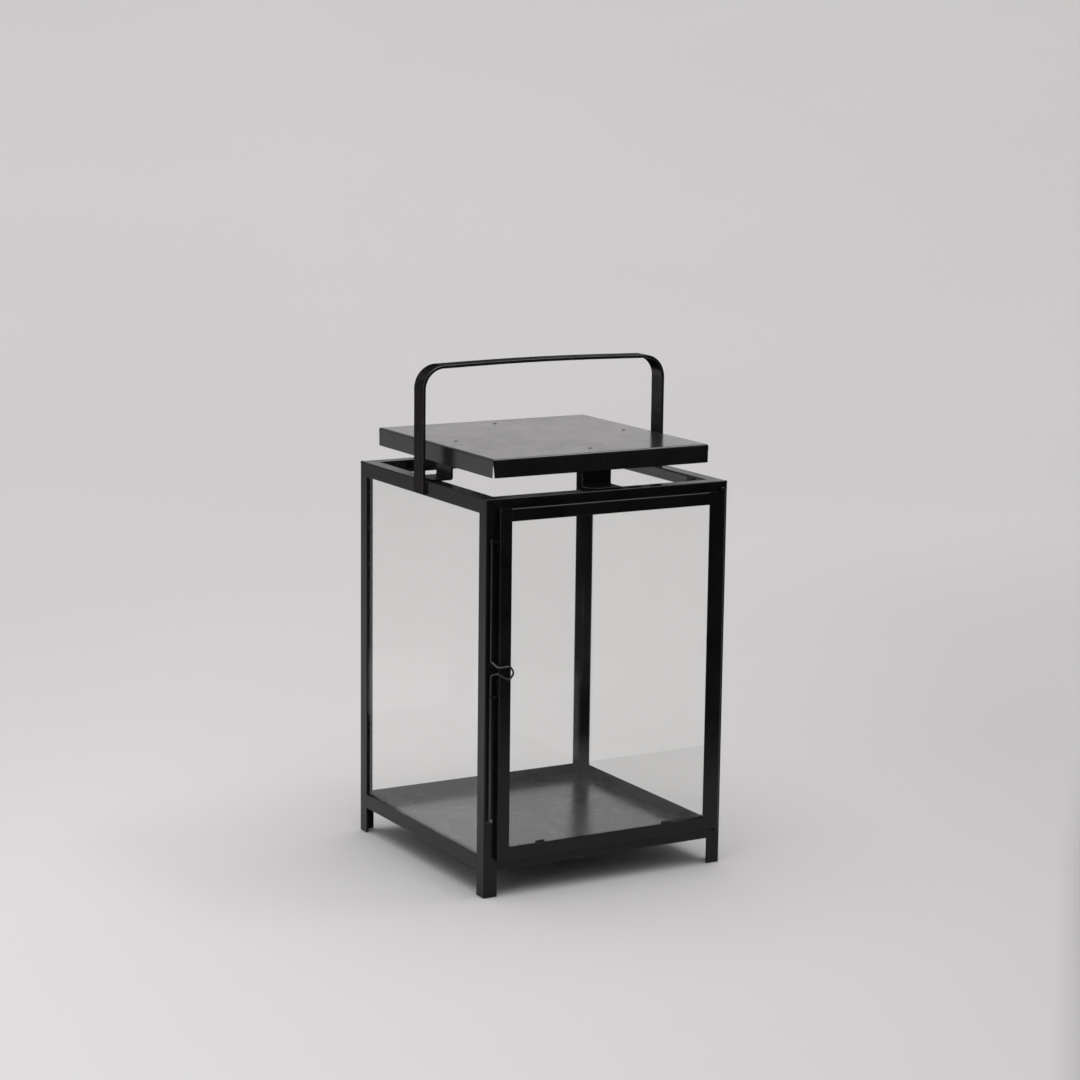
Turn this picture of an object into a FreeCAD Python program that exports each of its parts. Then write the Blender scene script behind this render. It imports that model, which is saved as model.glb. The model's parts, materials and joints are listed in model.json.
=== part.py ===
import FreeCAD, Part
import os
import math

# Square table lantern: angle-iron frame on four short feet, three fixed glass
# sides, a glazed front door on a long hinge pin, a folded roof plate on four
# Z brackets and a fixed strap handle.
# Millimetres. Origin on the floor under the middle of the overall box, +Z up,
# door side towards -Y, left side towards -X.

# ---------------------------------------------------------------- dimensions
WIDTH = 220.0            # outside of the frame, left to right
DEPTH = 220.0            # outside of the frame, front to back
FRAME_H = 317.0          # floor to the top of the top rails
TOTAL_H = 410.0          # floor to the top of the handle

LEG = 12.0               # leg of the angle section
T = 1.5                  # thickness of the angle section
R_OUT = 0.9              # outer corner radius of the angle
R_IN = 0.7               # inner corner radius of the angle
R_TOE = 0.35             # rounding of the toes

FOOT_H = 21.0            # feet reach this far below the bottom rails

TRAY_T = 1.2             # floor sheet

PANE_T = 2.5             # fixed panes
PANE_GAP = 0.1           # play between a pane and the angle behind it

ROOF = 197.0             # roof plate, each way
ROOF_TOP = 346.0         # height of the roof plate
ROOF_FLANGE = 15.0       # depth of the folded edge
ROOF_T = 1.2
ROOF_BEND = 1.8
ROOF_SLIT = 1.1          # open near corner of the fold, at the lower edge
ROOF_SLIT_TIGHT = 0.35   # the other three corners

BRACKET_W = 26.0
BRACKET_T = 1.5
BRACKET_WEB = 88.0       # inner face of the upright web, from the middle
BRACKET_FOOT = 107.0     # outer end of the foot, from the middle
BRACKET_HEAD = 68.0      # inner end of the head flange, from the middle
RIVET_AT = 78.5
RIVET_R = 1.2
RIVET_HEAD_R = 1.9

HANDLE_W = 16.0
HANDLE_T = 2.5
HANDLE_R = 19.0
HANDLE_BOW = 2667.0      # radius of the slight rise along the top of the strap
HANDLE_LOW = 306.0

DOOR_BOT = 30.5
DOOR_TOP = 309.6
DOOR_GAP = 0.4           # between the closed door and the frame
DOOR_DEPTH = 5.0
DOOR_T = 1.0
STILE_W = 10.3
OPEN_HALF = 90.3         # half of the clear width of the door
OPEN_BOT = 40.8
OPEN_TOP = 299.5
DOOR_GLASS_T = 2.0

PIN_R = 1.0
BARREL_BORE = 1.06       # running fit on the pin
BARREL_R = 2.0
PIN_X = 103.6

WIRE_R = 0.8             # catch wire
WIRE_X = -106.4
EYE_BORE = 0.86          # running fit on the wire
EYE_R = 1.45
EYE_H = 1.8
EYE_Z = (283.4, 161.2)   # lower faces of the two eyes
STRAP_REACH = (-11.0, 16.5)   # their straps run down and up the stile from there

HW = WIDTH / 2.0
HD = DEPTH / 2.0
FRONT = -HD                                  # front face of the frame
DOOR_BACK = FRONT - DOOR_GAP
DOOR_FRONT = DOOR_BACK - DOOR_DEPTH
PIN_Y = DOOR_FRONT + BARREL_R
WIRE_Y = FRONT - 2.5

# The frame is drawn about its own middle, then moved back so that the origin
# is under the middle of the overall box, catch loop included.
SHIFT_Y = 4.0

V = FreeCAD.Vector
os.makedirs("parts", exist_ok=True)


# ------------------------------------------------------------------- helpers
def box(x0, x1, y0, y1, z0, z1):
    return Part.makeBox(x1 - x0, y1 - y0, z1 - z0, V(x0, y0, z0))


def cyl(r, h, p, d=V(0, 0, 1)):
    return Part.makeCylinder(r, h, p, d)


def rounded(points, place):
    """Closed face from (u, v, radius) corners; place maps (u, v) to a point."""
    n = len(points)
    stops = []
    for i in range(n):
        u, v, r = points[i]
        pu, pv, _ = points[i - 1]
        nu, nv, _ = points[(i + 1) % n]
        if r <= 0:
            stops.append(((u, v), None, (u, v)))
            continue
        a = (pu - u, pv - v)
        b = (nu - u, nv - v)
        la = math.hypot(*a)
        lb = math.hypot(*b)
        a = (a[0] / la, a[1] / la)
        b = (b[0] / lb, b[1] / lb)
        half = math.acos(max(-1.0, min(1.0, a[0] * b[0] + a[1] * b[1]))) / 2.0
        t = r / math.tan(half)
        bis = (a[0] + b[0], a[1] + b[1])
        lbis = math.hypot(*bis)
        bis = (bis[0] / lbis, bis[1] / lbis)
        m = r / math.sin(half) - r
        stops.append(((u + a[0] * t, v + a[1] * t),
                      (u + bis[0] * m, v + bis[1] * m),
                      (u + b[0] * t, v + b[1] * t)))
    edges = []
    for i in range(n):
        s, m, e = stops[i]
        if m is not None:
            edges.append(Part.Arc(place(*s), place(*m), place(*e)).toShape())
        nxt = stops[(i + 1) % n][0]
        if math.hypot(nxt[0] - e[0], nxt[1] - e[1]) > 1e-6:
            edges.append(Part.makeLine(place(*e), place(*nxt)))
    return Part.Face(Part.Wire(edges))


def angle_points(u0, v0, su, sv, leg=LEG, t=T):
    """Angle section with its outer corner at (u0, v0), legs along su and sv."""
    return [(u0, v0, R_OUT),
            (u0 + su * leg, v0, R_TOE),
            (u0 + su * leg, v0 + sv * t, R_TOE),
            (u0 + su * t, v0 + sv * t, R_IN),
            (u0 + su * t, v0 + sv * leg, R_TOE),
            (u0, v0 + sv * leg, R_TOE)]


def prism(points, direction):
    """Prism of exactly the given corner points."""
    wire = Part.makePolygon([V(*p) for p in points] + [V(*points[0])])
    return Part.Face(wire).extrude(V(*direction))


def turned(shape, deg):
    s = shape.copy()
    s.rotate(V(0, 0, 0), V(0, 0, 1), deg)
    return s


def save(name, shape):
    shape = shape.copy()
    shape.translate(V(0, SHIFT_Y, 0))
    if shape.ShapeType == "Compound" and len(shape.Solids) == 1:
        shape = shape.Solids[0]
    bad = [s for s in shape.Solids if not s.isValid()]
    b = shape.BoundBox
    print("%-24s solids %2d valid %s vol %9.1f  x %7.2f %7.2f  y %7.2f %7.2f  z %7.2f %7.2f" % (
        name, len(shape.Solids), not bad, shape.Volume,
        b.XMin, b.XMax, b.YMin, b.YMax, b.ZMin, b.ZMax))
    shape.exportStep("parts/%s.step" % name)


# --------------------------------------------------------------------- posts
# Each post is an angle standing from the floor to under the top rails. The
# flange on the left or right side is mitred at the top against the side rail;
# the flange on the front or back runs straight up to the rail above it.
def post(sx, sy, slot=None):
    f = rounded(angle_points(sx * HW, sy * HD, -sx, -sy), lambda u, v: V(u, v, 0))
    s = f.extrude(V(0, 0, FRAME_H - T))
    y_in = HD - LEG
    mitre = prism([(0, y_in - 2.0, FRAME_H - LEG - 2.0),
                   (0, HD - T, FRAME_H - T),
                   (0, HD - T, FRAME_H + 5.0),
                   (0, y_in - 2.0, FRAME_H + 5.0)], (T + 0.4, 0, 0))
    if sx < 0:
        mitre.translate(V(-HW - 0.2, 0, 0))
    else:
        mitre.translate(V(HW - T - 0.2, 0, 0))
    if sy < 0:
        mitre = mitre.mirror(V(0, 0, 0), V(0, 1, 0))
    s = s.cut(mitre)
    if slot is not None:
        s = s.cut(slot)
    return s


# slot for the bent lower end of the catch wire, in the front flange of the
# left front post
CATCH_Z = 61.8
CATCH_TIP = FRONT + T - 0.1
SX0, SX1 = WIRE_X - WIRE_R - 0.4, WIRE_X + 4.5
slot = rounded([(SX0, CATCH_Z - 1.2, 1.1), (SX1, CATCH_Z - 1.2, 1.1),
                (SX1, CATCH_Z + 1.2, 1.1), (SX0, CATCH_Z + 1.2, 1.1)],
               lambda u, v: V(u, FRONT - 1.0, v)).extrude(V(0, T + 2.0, 0))

save("post_front_left", post(-1, -1, slot))
save("post_front_right", post(1, -1))
save("post_back_left", post(-1, 1))
save("post_back_right", post(1, 1))

# -------------------------------------------------------------- bottom rails
IN = HW - LEG            # 98: toes of the posts
Z0 = FOOT_H
fb = rounded(angle_points(FRONT, Z0, 1, 1), lambda u, v: V(-IN, u, v))
rail = fb.extrude(V(2 * IN, 0, 0))
save("bottom_rail_front", rail)
save("bottom_rail_right", turned(rail, 90))
save("bottom_rail_back", turned(rail, 180))
save("bottom_rail_left", turned(rail, 270))

# ----------------------------------------------------------------- top rails
# Horizontal flange on top, mitred at the four corners.
tb = rounded(angle_points(FRONT, FRAME_H, 1, -1), lambda u, v: V(-HW, u, v))
full = tb.extrude(V(WIDTH, 0, 0))
corner = prism([(-HW - 1, -HD - 1, 0), (-IN + 1, -IN + 1, 0), (-HW - 1, -IN + 1, 0)],
               (0, 0, 400))
corner_r = corner.mirror(V(0, 0, 0), V(1, 0, 0))
full = full.cut(corner).cut(corner_r)

# front and back: the upright flange stops at the posts
ends = box(-HW - 1, -IN, -HD - 1, -HD + LEG + 1, FRAME_H - LEG - 1, FRAME_H - T)
ends_r = box(IN, HW + 1, -HD - 1, -HD + LEG + 1, FRAME_H - LEG - 1, FRAME_H - T)
rail_fb = full.cut(ends).cut(ends_r)
save("top_rail_front", rail_fb)
save("top_rail_back", turned(rail_fb, 180))

# left and right: the upright flange is mitred against the posts
def side_cut(s):
    c = prism([(s * (IN - 2.0), 0, FRAME_H - LEG - 2.0),
               (s * (HD - T), 0, FRAME_H - T),
               (s * (HW + 1), 0, FRAME_H - T),
               (s * (HW + 1), 0, FRAME_H - LEG - 4.0),
               (s * (IN - 2.0), 0, FRAME_H - LEG - 4.0)], (0, LEG + 2, 0))
    c.translate(V(0, -HD - 1, 0))
    return c


rail_lr = full.cut(side_cut(-1)).cut(side_cut(1))
save("top_rail_right", turned(rail_lr, 90))
save("top_rail_left", turned(rail_lr, 270))

# ---------------------------------------------------------------- floor tray
TRAY_Z = FOOT_H + T
h = HW - T - 0.75
tray = rounded([(-h, -h, 1.0), (h, -h, 1.0), (h, h, 1.0), (-h, h, 1.0)],
               lambda u, v: V(u, v, TRAY_Z)).extrude(V(0, 0, TRAY_T))
save("floor_tray", tray)
FLOOR = TRAY_Z + TRAY_T

# --------------------------------------------------------------- fixed panes
PANE_OUT = HW - T - PANE_GAP
PANE_IN = PANE_OUT - PANE_T
PZ0 = FLOOR + 0.1
PZ1 = FRAME_H - T - 0.3
side_half = PANE_OUT - 0.2


PANE_FRONT = -105.0      # front ends of the side panes, behind the post flanges


def pane(x0, x1, y0, y1):
    p = box(x0, x1, y0, y1, PZ0, PZ1)
    return p.makeChamfer(0.3, p.Edges)


save("glass_pane_left", pane(-PANE_OUT, -PANE_IN, PANE_FRONT, side_half))
save("glass_pane_right", pane(PANE_IN, PANE_OUT, PANE_FRONT, side_half))
save("glass_pane_back", pane(-PANE_IN + 0.2, PANE_IN - 0.2, PANE_IN, PANE_OUT))

# Clips that hold a fixed pane against the angle: a foot on the tray or under
# the top flange and a finger up or down the inside of the glass.
CLIP_W = 10.0
CLIP_T = 0.8
F0 = PANE_IN - 0.05      # finger against the inside of the glass


def clip_low(at):
    f = rounded([(-F0, FLOOR, 0.3), (-F0 + 9.0, FLOOR, 0.2), (-F0 + 9.0, FLOOR + CLIP_T, 0.2),
                 (-F0 + CLIP_T, FLOOR + CLIP_T, 0.5), (-F0 + CLIP_T, FLOOR + 7.0, 0.2),
                 (-F0, FLOOR + 7.0, 0.2)], lambda u, v: V(u, at - CLIP_W / 2, v))
    return f.extrude(V(0, CLIP_W, 0))


def clip_high(at):
    z = FRAME_H - T
    f = rounded([(-F0, z, 0.3), (-F0 + 7.2, z, 0.2), (-F0 + 7.2, z - CLIP_T, 0.2),
                 (-F0 + CLIP_T, z - CLIP_T, 0.5), (-F0 + CLIP_T, z - 7.0, 0.2),
                 (-F0, z - 7.0, 0.2)], lambda u, v: V(u, at - CLIP_W / 2, v))
    return f.extrude(V(0, CLIP_W, 0))


clips = [clip_low(-62.0), clip_low(62.0), clip_high(-62.0), clip_high(62.0)]
save("glass_clips_left", Part.Compound(clips))
save("glass_clips_right", Part.Compound([turned(c, 180) for c in clips]))
save("glass_clips_back", Part.Compound([turned(c, 270) for c in clips]))

# ---------------------------------------------------------------- roof plate
# Sheet folded down on four sides; the corners of the fold are left open.
RH = ROOF / 2.0
outer = box(-RH, RH, -RH, RH, ROOF_TOP - ROOF_FLANGE, ROOF_TOP)
top_edges = [e for e in outer.Edges
             if abs(e.BoundBox.ZMin - ROOF_TOP) < 1e-6 and abs(e.BoundBox.ZMax - ROOF_TOP) < 1e-6]
outer = outer.makeFillet(ROOF_BEND, top_edges)
ri = RH - ROOF_T
inner = box(-ri, ri, -ri, ri, ROOF_TOP - ROOF_FLANGE - 1, ROOF_TOP - ROOF_T)
in_edges = [e for e in inner.Edges
            if abs(e.BoundBox.ZMin - (ROOF_TOP - ROOF_T)) < 1e-6
            and abs(e.BoundBox.ZMax - (ROOF_TOP - ROOF_T)) < 1e-6]
inner = inner.makeFillet(ROOF_BEND - ROOF_T, in_edges)
roof = outer.cut(inner)
zl = ROOF_TOP - ROOF_FLANGE
for i in range(4):
    half = ROOF_SLIT if i == 0 else ROOF_SLIT_TIGHT
    w = prism([(-half, -4.0, zl - 1.0), (half, -4.0, zl - 1.0),
               (0.2, -4.0, ROOF_TOP - 4.5), (-0.2, -4.0, ROOF_TOP - 4.5)], (0, 8.0, 0))
    w.rotate(V(0, 0, 0), V(0, 0, 1), -45)
    w.translate(V(-RH, -RH, 0))
    roof = roof.cut(turned(w, 90 * i))
for i in range(4):
    roof = roof.cut(turned(cyl(RIVET_R, 6.0, V(0, -RIVET_AT, ROOF_TOP - 4.0)), 90 * i))
save("roof_plate", roof)

# -------------------------------------------------------------- roof brackets
ROOF_UNDER = ROOF_TOP - ROOF_T
wo = BRACKET_WEB + BRACKET_T
zb = rounded([(-BRACKET_FOOT, FRAME_H, 0.2),
              (-BRACKET_WEB, FRAME_H, 2.3),
              (-BRACKET_WEB, ROOF_UNDER - BRACKET_T, 0.8),
              (-BRACKET_HEAD, ROOF_UNDER - BRACKET_T, 0.3),
              (-BRACKET_HEAD, ROOF_UNDER, 0.3),
              (-wo, ROOF_UNDER, 2.3),
              (-wo, FRAME_H + BRACKET_T, 0.8),
              (-BRACKET_FOOT, FRAME_H + BRACKET_T, 0.3)],
             lambda u, v: V(-BRACKET_W / 2, u, v))
bracket = zb.extrude(V(BRACKET_W, 0, 0))
bracket = bracket.cut(cyl(RIVET_R, 6.0, V(0, -RIVET_AT, ROOF_UNDER - 4.0)))
save("roof_bracket_front", bracket)
save("roof_bracket_right", turned(bracket, 90))
save("roof_bracket_back", turned(bracket, 180))
save("roof_bracket_left", turned(bracket, 270))


# rivets: shank through the roof and the bracket, low domed head on top
def dome(r, h, base, up):
    big = (r * r + h * h) / (2 * h)
    s = Part.makeSphere(big, V(0, 0, base + (h - big) * up))
    keep = box(-r - 1, r + 1, -r - 1, r + 1, min(base, base + 3 * up), max(base, base + 3 * up))
    return s.common(keep)


shank = cyl(RIVET_R, ROOF_T + BRACKET_T, V(0, 0, ROOF_UNDER - BRACKET_T))
head = dome(RIVET_HEAD_R, 0.6, ROOF_TOP, 1)
tail = dome(RIVET_HEAD_R - 0.1, 0.7, ROOF_UNDER - BRACKET_T, -1)
rivet = shank.fuse(head).fuse(tail).removeSplitter()
rivet.translate(V(0, -RIVET_AT, 0))
save("roof_rivets", Part.Compound([turned(rivet, 90 * i) for i in range(4)]))

# -------------------------------------------------------------- carry handle
ho = HW + HANDLE_T
rise = 0.0221            # slope of the two halves towards the middle
apex = HANDLE_BOW * (1.0 / math.cos(math.atan(rise)) - 1.0)
zc = TOTAL_H + apex - ho * rise
zi = zc - HANDLE_T + HANDLE_T * rise
hp = rounded([(-ho, HANDLE_LOW, 0.6), (-ho, zc, HANDLE_R),
              (0.0, TOTAL_H + apex, HANDLE_BOW), (ho, zc, HANDLE_R),
              (ho, HANDLE_LOW, 0.6), (HW, HANDLE_LOW, 0.2), (HW, zi, HANDLE_R - HANDLE_T),
              (0.0, TOTAL_H + apex - HANDLE_T, HANDLE_BOW - HANDLE_T),
              (-HW, zi, HANDLE_R - HANDLE_T), (-HW, HANDLE_LOW, 0.2)],
             lambda u, v: V(u, -HANDLE_W / 2, v))
handle = hp.extrude(V(0, HANDLE_W, 0))
long_edges = [e for e in handle.Edges
              if e.BoundBox.YMax - e.BoundBox.YMin < 1e-6 and e.BoundBox.ZMax > HANDLE_LOW + 2.0]
handle = handle.makeFillet(0.4, long_edges)
save("carry_handle", handle)

# ---------------------------------------------------------------------- door
SO = OPEN_HALF + STILE_W                    # outer edge of the left stile
yf, yb = DOOR_FRONT, DOOR_BACK
dt = DOOR_T
left = rounded([(-SO, yf, 1.3), (-OPEN_HALF, yf, 0.25), (-OPEN_HALF, yf + dt, 0.25),
                (-SO + dt, yf + dt, 0), (-SO + dt, yb, 0.2), (-SO, yb, 0.2)],
               lambda u, v: V(u, v, DOOR_BOT)).extrude(V(0, 0, DOOR_TOP - DOOR_BOT))
save("door_stile_left", left)

# The right stile ends in a rolled barrel for the hinge pin.
flat = rounded([(OPEN_HALF, yf, 0.25), (PIN_X, yf, 0), (PIN_X, yf + dt, 0),
                (OPEN_HALF, yf + dt, 0.25)],
               lambda u, v: V(u, v, DOOR_BOT)).extrude(V(0, 0, DOOR_TOP - DOOR_BOT))
lip = box(SO - 0.0, SO + 1.1, yf + 0.5, yb, DOOR_BOT, DOOR_TOP)
ring = cyl(BARREL_R, DOOR_TOP - DOOR_BOT, V(PIN_X, PIN_Y, DOOR_BOT))
right = flat.fuse(ring).fuse(lip)
right = right.cut(cyl(BARREL_BORE, DOOR_TOP - DOOR_BOT + 2, V(PIN_X, PIN_Y, DOOR_BOT - 1)))
right = right.removeSplitter()
save("door_stile_right", right)

# Rails of the door: face between the stiles, edge flange between their sides.
ex0, ex1 = -SO + dt, SO


def door_rail(z_out, z_open):
    s = 1.0 if z_out < z_open else -1.0
    face = rounded([(yf, z_open, 0.25), (yf, z_out, 1.3), (yb, z_out, 0.2),
                    (yb, z_out + s * dt, 0.2), (yf + dt, z_out + s * dt, 0.3),
                    (yf + dt, z_open, 0.25)],
                   lambda u, v: V(-OPEN_HALF, u, v)).extrude(V(2 * OPEN_HALF, 0, 0))
    z0, z1 = min(z_out, z_out + s * dt), max(z_out, z_out + s * dt)
    ends = [box(ex0, -OPEN_HALF, yf + dt, yb, z0, z1), box(OPEN_HALF, ex1, yf + dt, yb, z0, z1)]
    return face.fuse(ends).removeSplitter()


save("door_rail_top", door_rail(DOOR_TOP, OPEN_TOP))
save("door_rail_bottom", door_rail(DOOR_BOT, OPEN_BOT))

gy0 = yf + dt + 0.05
gy1 = gy0 + DOOR_GLASS_T
glass = box(ex0 + 0.3, ex1 - 0.3, gy0, gy1, DOOR_BOT + dt + 0.3, DOOR_TOP - dt - 0.3)
save("door_glass", glass.makeChamfer(0.3, glass.Edges))

# Tabs on the edge flanges, bent over the inside of the door glass.
ty0 = gy1 + 0.05
ty1 = ty0 + 0.8


def tab_v(xc, w, z_edge, reach):
    """Tab on the top or bottom rail; reach is signed along Z."""
    z1 = z_edge + reach
    return box(xc - w / 2, xc + w / 2, ty0, ty1, min(z_edge, z1), max(z_edge, z1))


def tab_h(zc, w, x_edge, reach):
    x1 = x_edge + reach
    return box(min(x_edge, x1), max(x_edge, x1), ty0, ty1, zc - w / 2, zc + w / 2)


zb_in = DOOR_BOT + dt
zt_in = DOOR_TOP - dt
tabs = [tab_v(57.0, 10.0, zb_in, 10.9), tab_v(84.0, 14.0, zb_in, 11.1),
        tab_v(-61.0, 8.0, zb_in, 10.4),
        tab_v(57.0, 10.0, zt_in, -8.5), tab_v(-57.0, 10.0, zt_in, -8.5),
        tab_h(100.0, 10.0, ex0, 8.0), tab_h(240.0, 10.0, ex0, 8.0),
        tab_h(100.0, 10.0, ex1, -8.0), tab_h(240.0, 10.0, ex1, -8.0)]
save("door_glass_tabs", Part.Compound(tabs))

# ---------------------------------------------------------------- hinge side
# Two lugs on the right front post hold the ends of the pin.
def lug(z0, z1):
    f = rounded([(PIN_X - 2.0, FRONT, 0), (PIN_X - 2.0, PIN_Y - 2.0, 1.9),
                 (PIN_X + 2.0, PIN_Y - 2.0, 1.9), (PIN_X + 2.0, FRONT, 0)],
                lambda u, v: V(u, v, z0)).extrude(V(0, 0, z1 - z0))
    return f.cut(cyl(PIN_R + 0.02, 20, V(PIN_X, PIN_Y, z0 - 5)))


LUG_H = 2.0
LUG_GAP = 0.4
save("hinge_lug_upper", lug(DOOR_TOP + LUG_GAP, DOOR_TOP + LUG_GAP + LUG_H))
save("hinge_lug_lower", lug(DOOR_BOT - LUG_GAP - LUG_H, DOOR_BOT - LUG_GAP))
p0 = DOOR_BOT - LUG_GAP - LUG_H - 0.4
p1 = DOOR_TOP + LUG_GAP + LUG_H
pin = cyl(PIN_R, p1 - p0, V(PIN_X, PIN_Y, p0))
pin_head = cyl(1.5, 0.7, V(PIN_X, PIN_Y, p1))
pin_head = pin_head.makeFillet(0.4, [e for e in pin_head.Edges if abs(e.BoundBox.ZMin - p1 - 0.7) < 1e-6])
save("hinge_pin", pin.fuse(pin_head).removeSplitter())


# --------------------------------------------------------------------- catch
# Two strap eyes on the side of the left stile carry a long upright wire with a
# small head on top. The wire is bent to a finger loop that lies over the stile,
# and its lower end is bent back into the slot in the post.
def eye(z0, reach):
    ring = cyl(EYE_R, EYE_H, V(WIRE_X, WIRE_Y, z0))
    arm = rounded([(WIRE_Y - 0.9, z0, 0.3), (WIRE_Y + 0.9, z0, 0.3),
                   (WIRE_Y + 0.9, z0 + EYE_H, 0.3), (WIRE_Y - 0.9, z0 + EYE_H, 0.3)],
                  lambda u, v: V(WIRE_X, u, v)).extrude(V(-SO - WIRE_X, 0, 0))
    za, zc = min(z0, z0 + EYE_H + reach), max(z0 + EYE_H, z0 + reach)
    strap = rounded([(WIRE_Y - 1.5, za, 0.8), (WIRE_Y + 1.5, za, 0.8),
                     (WIRE_Y + 1.5, zc, 0.8), (WIRE_Y - 1.5, zc, 0.8)],
                    lambda u, v: V(-SO - 0.8, u, v)).extrude(V(0.8, 0, 0))
    zk = (za + 2.6) if reach < 0 else (zc - 2.6)
    knob = cyl(1.1, 0.8, V(-SO - 0.8, WIRE_Y, zk), V(-1, 0, 0))
    knob = knob.makeFillet(0.5, [e for e in knob.Edges if abs(e.BoundBox.XMax - (-SO - 1.6)) < 1e-6])
    s = ring.fuse([arm, strap, knob])
    return s.cut(cyl(EYE_BORE, EYE_H + 2, V(WIRE_X, WIRE_Y, z0 - 1))).removeSplitter()


save("catch_eyes", Part.Compound([eye(z, r) for z, r in zip(EYE_Z, STRAP_REACH)]))

LOOP_Y = DOOR_FRONT - 1.0 - WIRE_R
WIRE_TOP = EYE_Z[0] + EYE_H + 0.3


def tube(points, radii, r):
    """Round wire along straight runs joined by tangent arcs."""
    pts = [V(*p) for p in points]
    edges = []
    start = pts[0]
    for i in range(1, len(pts) - 1):
        a = pts[i - 1] - pts[i]
        b = pts[i + 1] - pts[i]
        a.normalize()
        b.normalize()
        half = a.getAngle(b) / 2.0
        t = radii[i - 1] / math.tan(half)
        s = pts[i] + a * t
        e = pts[i] + b * t
        bis = a + b
        bis.normalize()
        m = pts[i] + bis * (radii[i - 1] / math.sin(half) - radii[i - 1])
        edges.append(Part.makeLine(start, s))
        edges.append(Part.Arc(s, m, e).toShape())
        start = e
    edges.append(Part.makeLine(start, pts[-1]))
    path = Part.Wire(edges)
    d = pts[1] - pts[0]
    d.normalize()
    section = Part.Wire([Part.Circle(pts[0], d, r).toShape()])
    return path.makePipeShell([section], True, False), path.Length


route = [(WIRE_X, WIRE_Y, WIRE_TOP),
         (WIRE_X, WIRE_Y, 190.5),
         (-102.9, LOOP_Y, 185.9),
         (-92.0, LOOP_Y, 186.2),
         (-88.5, LOOP_Y, 180.8),
         (-92.6, LOOP_Y, 175.2),
         (-102.9, LOOP_Y, 181.4),
         (WIRE_X, WIRE_Y, 179.7),
         (WIRE_X, WIRE_Y, CATCH_Z),
         (WIRE_X, CATCH_TIP, CATCH_Z)]
radii = [2.0, 1.8, 3.0, 3.5, 3.0, 1.8, 1.8, 1.4]
wire, length = tube(route, radii, WIRE_R)
print("wire length", round(length, 1), "volume ratio", round(wire.Volume / (math.pi * WIRE_R ** 2 * length), 4))
wire_head = cyl(1.25, 0.7, V(WIRE_X, WIRE_Y, WIRE_TOP))
wire_head = wire_head.makeFillet(0.4, [e for e in wire_head.Edges
                                       if abs(e.BoundBox.ZMin - WIRE_TOP - 0.7) < 1e-6])
wire = wire.fuse(wire_head)
save("catch_wire", wire.removeSplitter())
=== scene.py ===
import json
import math
import random

import bmesh
import bpy
from mathutils import Matrix, Vector


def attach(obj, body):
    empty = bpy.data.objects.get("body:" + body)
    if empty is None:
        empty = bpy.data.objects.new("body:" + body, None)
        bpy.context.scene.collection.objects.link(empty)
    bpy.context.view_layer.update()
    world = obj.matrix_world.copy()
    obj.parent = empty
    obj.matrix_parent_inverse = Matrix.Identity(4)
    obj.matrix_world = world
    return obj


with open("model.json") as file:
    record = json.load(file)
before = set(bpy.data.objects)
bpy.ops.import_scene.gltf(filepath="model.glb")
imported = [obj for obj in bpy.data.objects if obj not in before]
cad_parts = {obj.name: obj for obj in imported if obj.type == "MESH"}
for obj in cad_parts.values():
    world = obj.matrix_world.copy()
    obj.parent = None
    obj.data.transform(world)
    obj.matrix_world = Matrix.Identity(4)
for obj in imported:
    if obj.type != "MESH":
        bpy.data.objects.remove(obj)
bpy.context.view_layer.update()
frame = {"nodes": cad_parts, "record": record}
nodes = frame["nodes"]
random.seed(7)
scene = bpy.context.scene

# -------------------------------------------------------------------- camera
F_PX = 2776.56                       # focal length in pixels of a 1080 frame
YAW, PITCH, ROLL = 0.51891, 0.17846, 0.01208
fwd = Vector((math.sin(YAW) * math.cos(PITCH), math.cos(YAW) * math.cos(PITCH), -math.sin(PITCH)))
right = Vector((math.cos(YAW), -math.sin(YAW), 0.0))
up = right.cross(fwd)
r2 = math.cos(ROLL) * right + math.sin(ROLL) * up
u2 = -math.sin(ROLL) * right + math.cos(ROLL) * up
cam_data = bpy.data.cameras.new("camera")
cam = bpy.data.objects.new("camera", cam_data)
scene.collection.objects.link(cam)
cam_data.sensor_width = 36.0
cam_data.lens = F_PX / 1080.0 * 36.0
cam_data.clip_start, cam_data.clip_end = 0.02, 60.0
m = Matrix(((r2.x, u2.x, -fwd.x, -1.11290),
            (r2.y, u2.y, -fwd.y, -1.94480),
            (r2.z, u2.z, -fwd.z, 0.66414),
            (0, 0, 0, 1)))
cam.matrix_world = m
scene.camera = cam


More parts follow.
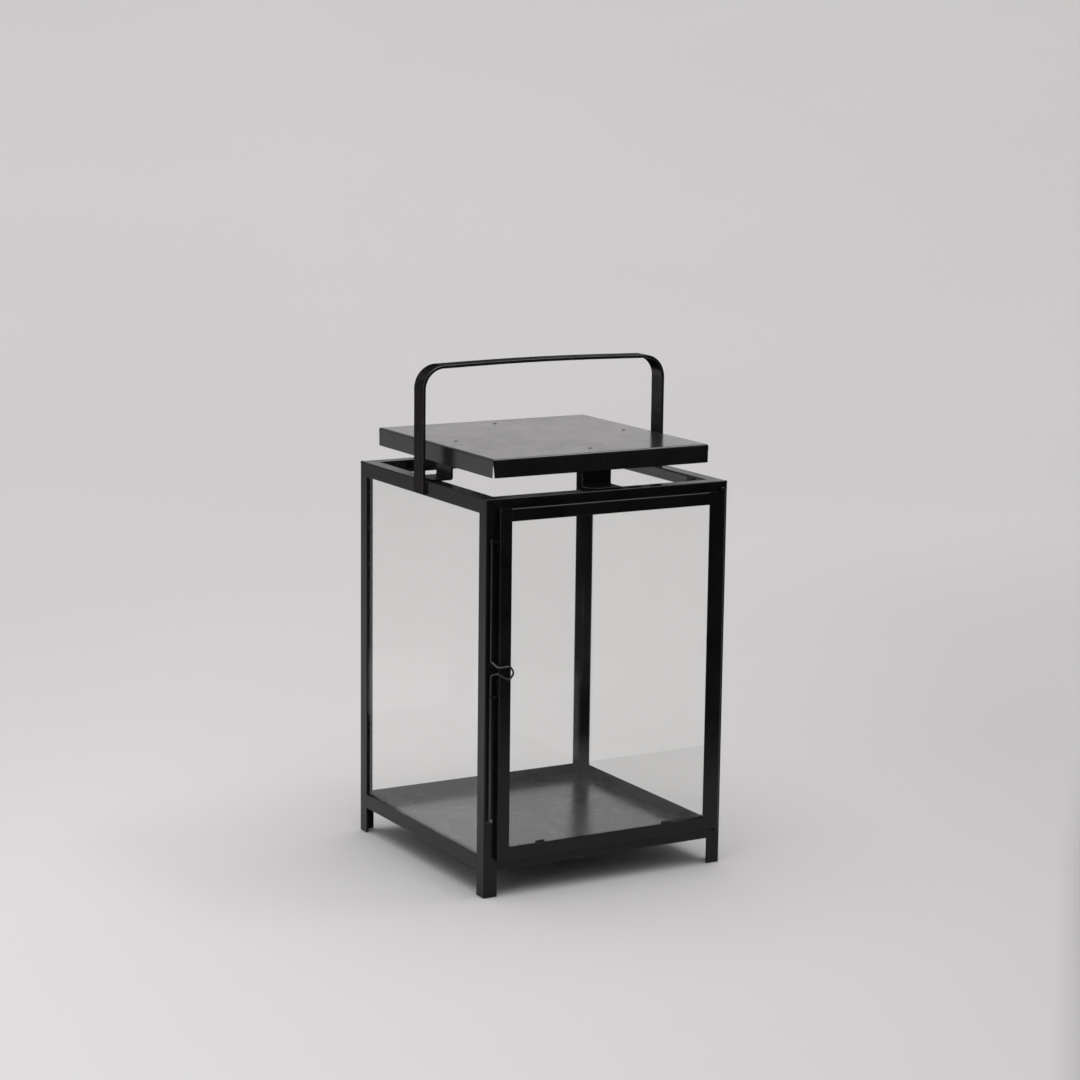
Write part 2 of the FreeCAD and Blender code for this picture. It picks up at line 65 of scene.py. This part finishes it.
# ----------------------------------------------------------------- materials
class Mat:
    """A small builder for node trees."""

    def __init__(self, name):
        self.mat = bpy.data.materials.new(name)
        self.mat.use_nodes = True
        self.nt = self.mat.node_tree
        self.nt.nodes.clear()
        self.out = self.nt.nodes.new("ShaderNodeOutputMaterial")
        self.bsdf = self.nt.nodes.new("ShaderNodeBsdfPrincipled")
        self.nt.links.new(self.bsdf.outputs[0], self.out.inputs[0])
        self.tc = self.nt.nodes.new("ShaderNodeTexCoord")
        self.co = self.tc.outputs["Object"]

    def link(self, a, b):
        self.nt.links.new(a, b)

    def noise(self, scale, detail=3.0, rough=0.55, distortion=0.0, co=None):
        n = self.nt.nodes.new("ShaderNodeTexNoise")
        n.inputs["Scale"].default_value = scale
        n.inputs["Detail"].default_value = detail
        n.inputs["Roughness"].default_value = rough
        n.inputs["Distortion"].default_value = distortion
        self.link(co or self.co, n.inputs["Vector"])
        return n.outputs["Fac"]

    def stretch(self, x, y, z):
        n = self.nt.nodes.new("ShaderNodeMapping")
        n.inputs["Scale"].default_value = (x, y, z)
        self.link(self.co, n.inputs["Vector"])
        return n.outputs["Vector"]

    def ramp(self, fac, stops):
        n = self.nt.nodes.new("ShaderNodeValToRGB")
        el = n.color_ramp.elements
        while len(el) < len(stops):
            el.new(0.5)
        for e, (p, c) in zip(el, stops):
            e.position = p
            e.color = c if len(c) == 4 else (*c, 1.0)
        self.link(fac, n.inputs["Fac"])
        return n.outputs["Color"]

    def span(self, fac, a0, a1, b0, b1):
        n = self.nt.nodes.new("ShaderNodeMapRange")
        for i, v in zip(("From Min", "From Max", "To Min", "To Max"), (a0, a1, b0, b1)):
            n.inputs[i].default_value = v
        self.link(fac, n.inputs["Value"])
        return n.outputs["Result"]

    def math(self, op, a, b=None, clamp=False):
        n = self.nt.nodes.new("ShaderNodeMath")
        n.operation = op
        n.use_clamp = clamp
        for i, v in enumerate((a, b)):
            if v is None:
                continue
            if isinstance(v, (int, float)):
                n.inputs[i].default_value = v
            else:
                self.link(v, n.inputs[i])
        return n.outputs[0]

    def mix(self, fac, a, b):
        n = self.nt.nodes.new("ShaderNodeMix")
        n.data_type = "RGBA"
        for s, v in ((n.inputs[0], fac), (n.inputs[6], a), (n.inputs[7], b)):
            if isinstance(v, (int, float)):
                s.default_value = v
            elif isinstance(v, tuple):
                s.default_value = (*v, 1.0) if len(v) == 3 else v
            else:
                self.link(v, s)
        return n.outputs[2]

    def bump(self, height, strength, distance, normal=None):
        n = self.nt.nodes.new("ShaderNodeBump")
        n.inputs["Strength"].default_value = strength
        n.inputs["Distance"].default_value = distance
        self.link(height, n.inputs["Height"])
        if normal is not None:
            self.link(normal, n.inputs["Normal"])
        return n.outputs["Normal"]

    def up_facing(self):
        """1 where the surface looks up, 0 elsewhere."""
        g = self.nt.nodes.new("ShaderNodeNewGeometry")
        s = self.nt.nodes.new("ShaderNodeSeparateXYZ")
        self.link(g.outputs["Normal"], s.inputs[0])
        return self.span(s.outputs["Z"], 0.6, 0.95, 0.0, 1.0)


def coat(name, base=(0.0040, 0.0038, 0.0039), light=(0.0090, 0.0085, 0.0087), rough=(0.19, 0.27),
         peel=0.018, grain=0.02, dust=0.12, gloss=0.0, gloss_rough=0.14, spec=0.27):
    """Black paint on steel: orange peel, fine grain, faint smudges and dust on top."""
    k = Mat(name)
    cloud = k.noise(38.0, 4.0, 0.6)
    smudge = k.noise(13.0, 5.0, 0.62, 0.8)
    fine = k.noise(2600.0, 2.0, 0.6)
    speck = k.noise(900.0, 3.0, 0.7)
    col = k.ramp(cloud, [(0.30, base), (0.72, light)])
    dusty = k.math("MULTIPLY", k.up_facing(), k.span(smudge, 0.46, 0.70, 0.0, dust), True)
    flecks = k.math("MULTIPLY", dusty, k.span(speck, 0.50, 0.72, 0.25, 1.0), True)
    col = k.mix(flecks, col, (0.075, 0.073, 0.070))
    k.link(col, k.bsdf.inputs["Base Color"])
    r = k.span(cloud, 0.3, 0.7, rough[0], rough[1])
    r = k.math("ADD", r, k.span(fine, 0.3, 0.7, -0.02, 0.02))
    r = k.math("ADD", r, k.math("MULTIPLY", dusty, 0.20), True)
    k.link(r, k.bsdf.inputs["Roughness"])
    k.bsdf.inputs["IOR"].default_value = 1.5
    k.bsdf.inputs["Specular IOR Level"].default_value = spec
    k.bsdf.inputs["Coat Weight"].default_value = gloss
    k.link(k.span(smudge, 0.3, 0.7, gloss_rough, gloss_rough + 0.08), k.bsdf.inputs["Coat Roughness"])
    orange = k.noise(480.0, 2.0, 0.45)
    nrm = k.bump(orange, peel, 0.0004)
    nrm = k.bump(fine, grain, 0.0001, nrm)
    k.link(nrm, k.bsdf.inputs["Normal"])
    k.link(nrm, k.bsdf.inputs["Coat Normal"])
    return k.mat


def wire_coat(name):
    """Black finish on drawn wire: smoother, with faint lengthwise marks."""
    k = Mat(name)
    cloud = k.noise(60.0, 3.0, 0.6)
    marks = k.noise(1.0, 2.0, 0.5, co=k.stretch(2200.0, 2200.0, 60.0))
    col = k.ramp(cloud, [(0.3, (0.007, 0.0068, 0.007)), (0.75, (0.016, 0.0155, 0.016))])
    k.link(col, k.bsdf.inputs["Base Color"])
    k.link(k.span(marks, 0.3, 0.7, 0.16, 0.28), k.bsdf.inputs["Roughness"])
    k.bsdf.inputs["Specular IOR Level"].default_value = 0.8
    k.link(k.bump(marks, 0.12, 0.0001), k.bsdf.inputs["Normal"])
    return k.mat


def glass(name, seed=0.0):
    """Clear flat glass, a trace of green in its depth, faint wipe marks."""
    k = Mat(name)
    b = k.bsdf
    b.inputs["Transmission Weight"].default_value = 1.0
    b.inputs["IOR"].default_value = 1.37
    b.inputs["Base Color"].default_value = (0.996, 1.0, 0.998, 1.0)
    wipe = k.noise(9.0 + seed, 4.0, 0.6, 1.2)
    k.link(k.span(wipe, 0.55, 0.80, 0.0, 0.02), b.inputs["Roughness"])
    wave = k.noise(5.0, 1.5, 0.5)
    k.link(k.bump(wave, 0.05, 0.002), b.inputs["Normal"])
    # light from lamps passes straight on to what is behind the pane
    lp = k.nt.nodes.new("ShaderNodeLightPath")
    tr = k.nt.nodes.new("ShaderNodeBsdfTransparent")
    tr.inputs["Color"].default_value = (0.94, 0.955, 0.95, 1.0)
    mixs = k.nt.nodes.new("ShaderNodeMixShader")
    k.link(lp.outputs["Is Shadow Ray"], mixs.inputs[0])
    k.link(b.outputs[0], mixs.inputs[1])
    k.link(tr.outputs[0], mixs.inputs[2])
    k.link(mixs.outputs[0], k.out.inputs[0])
    return k.mat


M_ANGLE = coat("black_angle_coat_look")
M_SHEET = coat("black_sheet_coat_look", rough=(0.18, 0.25))
M_ROOF = coat("black_roof_coat_look", rough=(0.20, 0.28), peel=0.008, grain=0.01, dust=0.22, gloss=0.75,
              gloss_rough=0.12, spec=0.45)
M_HANDLE = coat("black_handle_look", base=(0.105, 0.100, 0.100), light=(0.135, 0.129, 0.130),
                rough=(0.22, 0.30), peel=0.015, dust=0.05, gloss=0.0)
hb = M_HANDLE.node_tree.nodes["Principled BSDF"]
hb.inputs["Metallic"].default_value = 1.0
hb.inputs["Specular Tint"].default_value = (0.010, 0.010, 0.010, 1.0)
M_TRAY = coat("black_tray_coat_look", rough=(0.24, 0.32), peel=0.010, grain=0.01, dust=0.15,
              gloss=0.7, gloss_rough=0.17, spec=0.45)
M_WIRE = wire_coat("black_wire_coat_look")
M_GLASS = glass("clear_glass_look")

SLOT_MAT = {"black_angle_coat": M_ANGLE, "black_sheet_coat": M_SHEET,
            "black_wire_coat": M_WIRE, "clear_glass": M_GLASS}
slot_of = {s["node"]: s["material_slot"] for s in frame["record"]["subparts"]}
for name, o in nodes.items():
    mat = {"roof_plate": M_ROOF, "floor_tray": M_TRAY, "carry_handle": M_HANDLE}.get(name, SLOT_MAT[slot_of[name]])
    if not o.material_slots:
        o.data.materials.append(mat)
    for s in o.material_slots:
        s.material = mat


# ---------------------------------------------------------- small weld beads
def bead_mesh(name, runs):
    """Rounded beads of paint-covered weld; each run is (start, end, radius) in metres."""
    bm = bmesh.new()
    for a, b, r in runs:
        a, b = Vector(a), Vector(b)
        d = b - a
        n = max(1, int(d.length / (r * 0.9)))
        for i in range(n + 1):
            p = a + d * (i / n)
            rr = r * random.uniform(0.82, 1.12)
            bmesh.ops.create_icosphere(bm, subdivisions=2, radius=rr, matrix=Matrix.Translation(p))
    for f in bm.faces:
        f.smooth = True
    me = bpy.data.meshes.new(name)
    bm.to_mesh(me)
    bm.free()
    o = bpy.data.objects.new(name, me)
    scene.collection.objects.link(o)
    me.materials.append(M_ANGLE)
    return o


def mm(x, y, z):
    return (x / 1000.0, (y + 4.0) / 1000.0, z / 1000.0)


runs = []
for sx in (-1, 1):
    for sy in (-1, 1):
        # corner of the top rails, and the joint of each upright flange with its post
        runs.append((mm(sx * 108.9, sy * 108.9, 316.5), mm(sx * 108.9, sy * 108.9, 316.1), 0.0009))
        runs.append((mm(sx * 98.0, sy * 109.75, 306.5), mm(sx * 98.0, sy * 109.75, 314.5), 0.00045))
    # the handle's legs on the side rails
    for y in (-8.0, 8.0):
        runs.append((mm(sx * 110.0, y, 306.8), mm(sx * 110.0, y, 315.8), 0.0007))
# a short run of paint on the front bottom rail
runs.append((mm(23.0, -109.95, 28.7), mm(42.0, -109.95, 27.6), 0.0002))
beads = bead_mesh("frame_weld_beads", runs)
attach(beads, "frame")
door_runs = []
for z in (309.0, 31.1):
    door_runs.append((mm(-100.0, -114.8, z), mm(-100.0, -114.4, z), 0.0008))
    for x in (-90.3, 90.3):
        zz = 301.0 if z > 200 else 32.5
        door_runs.append((mm(x, -115.25, zz), mm(x, -115.25, zz + 6.0), 0.0003))
door_beads = bead_mesh("door_weld_beads", door_runs)
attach(door_beads, "door")


# --------------------------------------------------------------------- stage
def floor_mesh():
    """A pale sweep: flat round the object, rising gently far away."""
    bm = bmesh.new()
    rings, seg = [], 160
    radii = [0.0, 0.3, 0.6, 0.9, 1.2, 1.6, 2.0, 2.5, 3.0, 3.5, 4.0, 4.5, 5.0, 5.5, 6.0, 6.5, 7.0, 7.6, 8.4]
    for r in radii:
        z = 0.0 if r < 2.5 else 0.085 * (r - 2.5) ** 2
        z -= 0.0004
        if r == 0.0:
            rings.append([bm.verts.new((0, 0, z))])
            continue
        rings.append([bm.verts.new((r * math.cos(2 * math.pi * i / seg), r * math.sin(2 * math.pi * i / seg), z))
                      for i in range(seg)])
    for a, b in zip(rings, rings[1:]):
        for i in range(seg):
            j = (i + 1) % seg
            if len(a) == 1:
                bm.faces.new((a[0], b[i], b[j]))
            else:
                bm.faces.new((a[i], b[i], b[j], a[j]))
    for f in bm.faces:
        f.smooth = True
    me = bpy.data.meshes.new("floor")
    bm.to_mesh(me)
    bm.free()
    return me


floor = bpy.data.objects.new("floor", floor_mesh())
scene.collection.objects.link(floor)
k = Mat("pale_floor")
far = k.noise(0.8, 3.0, 0.5)
sep = k.nt.nodes.new("ShaderNodeSeparateXYZ")
k.link(k.co, sep.inputs[0])
front = k.span(sep.outputs["Y"], -0.84, -0.64, 1.0, 0.0)
col = k.ramp(far, [(0.3, (0.690, 0.684, 0.687)), (0.7, (0.710, 0.704, 0.707))])
# painted light and shade on the floor colour: lighter further back, a little lighter to the left and darker to the
# right of the object
side = k.math("SUBTRACT", k.math("MULTIPLY", sep.outputs["X"], 0.868), k.math("MULTIPLY", sep.outputs["Y"], 0.496))
near = k.span(sep.outputs["Y"], 0.1, 1.1, 1.0, 0.0)
lit = k.math("ADD", k.span(sep.outputs["Y"], 0.6, 5.0, 0.955, 1.16),
             k.math("MULTIPLY", near, k.span(side, -0.40, 0.45, 0.09, -0.15)))
tone = k.nt.nodes.new("ShaderNodeVectorMath")
tone.operation = "SCALE"
k.link(col, tone.inputs[0])
k.link(lit, tone.inputs["Scale"])
# painted shade: the paper's colour is made near black to the left of the camera's view, to the right of it towards
# the front, and in front of the object
depth = k.math("ADD", k.math("MULTIPLY", sep.outputs["X"], 0.496), k.math("MULTIPLY", sep.outputs["Y"], 0.868))
past = k.math("SUBTRACT", k.math("MULTIPLY", side, -1.0), k.math("MULTIPLY", k.math("ADD", depth, 2.24), 0.1945))
col = k.mix(k.span(past, 0.25, 1.8, 0.0, 0.70), tone.outputs[0], (0.04, 0.039, 0.039))
past_r = k.math("SUBTRACT", side, k.math("MULTIPLY", k.math("ADD", depth, 2.24), 0.1945))
col = k.mix(k.math("MULTIPLY", k.span(past_r, 0.0, 0.10, 0.0, 1.0), k.span(sep.outputs["Y"], -0.25, 0.05, 1.0, 0.0)),
            col, (0.03, 0.029, 0.029))
col = k.mix(front, col, (0.03, 0.029, 0.029))
k.link(col, k.bsdf.inputs["Base Color"])
k.bsdf.inputs["Roughness"].default_value = 0.75
k.bsdf.inputs["Specular IOR Level"].default_value = 0.25
k.link(k.bump(k.noise(420.0, 3.0, 0.6), 0.06, 0.0006), k.bsdf.inputs["Normal"])
floor.data.materials.append(k.mat)

# --------------------------------------------------------------------- light
world = bpy.data.worlds.new("studio")
scene.world = world
world.use_nodes = True
wt = world.node_tree
wt.nodes.clear()
w_out = wt.nodes.new("ShaderNodeOutputWorld")
bg = wt.nodes.new("ShaderNodeBackground")
w_tc = wt.nodes.new("ShaderNodeTexCoord")
w_sep = wt.nodes.new("ShaderNodeSeparateXYZ")
wt.links.new(w_tc.outputs["Generated"], w_sep.inputs[0])


def w_range(fac, a0, a1, b0, b1):
    n = wt.nodes.new("ShaderNodeMapRange")
    n.interpolation_type = "SMOOTHSTEP"
    for i, v in zip(("From Min", "From Max", "To Min", "To Max"), (a0, a1, b0, b1)):
        n.inputs[i].default_value = v
    wt.links.new(fac, n.inputs["Value"])
    return n.outputs["Result"]


low = w_range(w_sep.outputs["Y"], -0.55, 0.35, 0.02, 0.52)      # dim in front, pale behind
mid = w_range(w_sep.outputs["Z"], 0.20, 0.45, 0.0, 1.0)
top = w_range(w_sep.outputs["Z"], 0.70, 0.88, 0.0, 1.0)
m_mix = wt.nodes.new("ShaderNodeMix")
m_mix.data_type = "FLOAT"
wt.links.new(mid, m_mix.inputs[0])
wt.links.new(low, m_mix.inputs[2])
m_mix.inputs[3].default_value = 0.40
w_mix = wt.nodes.new("ShaderNodeMix")
w_mix.data_type = "FLOAT"
wt.links.new(top, w_mix.inputs[0])
wt.links.new(m_mix.outputs[0], w_mix.inputs[2])
w_mix.inputs[3].default_value = 1.55
wt.links.new(w_mix.outputs[0], bg.inputs["Strength"])
bg.inputs["Color"].default_value = (1.0, 0.985, 0.975, 1)
wt.links.new(bg.outputs[0], w_out.inputs[0])


def area(name, loc, target, size, energy, color=(1, 1, 1)):
    d = bpy.data.lights.new(name, "AREA")
    d.shape = "RECTANGLE"
    d.size, d.size_y = size
    d.energy = energy
    d.color = color
    o = bpy.data.objects.new(name, d)
    scene.collection.objects.link(o)
    o.location = loc
    o.rotation_mode = "QUATERNION"
    o.rotation_quaternion = (Vector(target) - Vector(loc)).to_track_quat("-Z", "Y")
    return o


area("key_overhead", (0.1, 0.7, 2.6), (0.0, 0.1, 0.0), (2.4, 1.8), 4.2, (1.0, 0.99, 0.985))

area("soft_top_front", (-0.35, -0.62, 1.55), (0.0, -0.12, 0.0), (1.0, 0.8), 3.2, (0.99, 0.99, 1.0))
area("strip_high_right", (0.92, -0.45, 1.9), (0.0, -0.1, 0.3), (0.7, 0.25), 3.6, (1.0, 0.99, 0.98))
area("strip_left", (-1.5, -0.85, 0.45), (-0.1, -0.1, 0.2), (0.5, 1.2), 2.6, (1.0, 0.995, 0.99))

view = scene.view_settings
view.view_transform = "Standard"
view.look = "None"
view.exposure = 0.0
view.gamma = 1.0
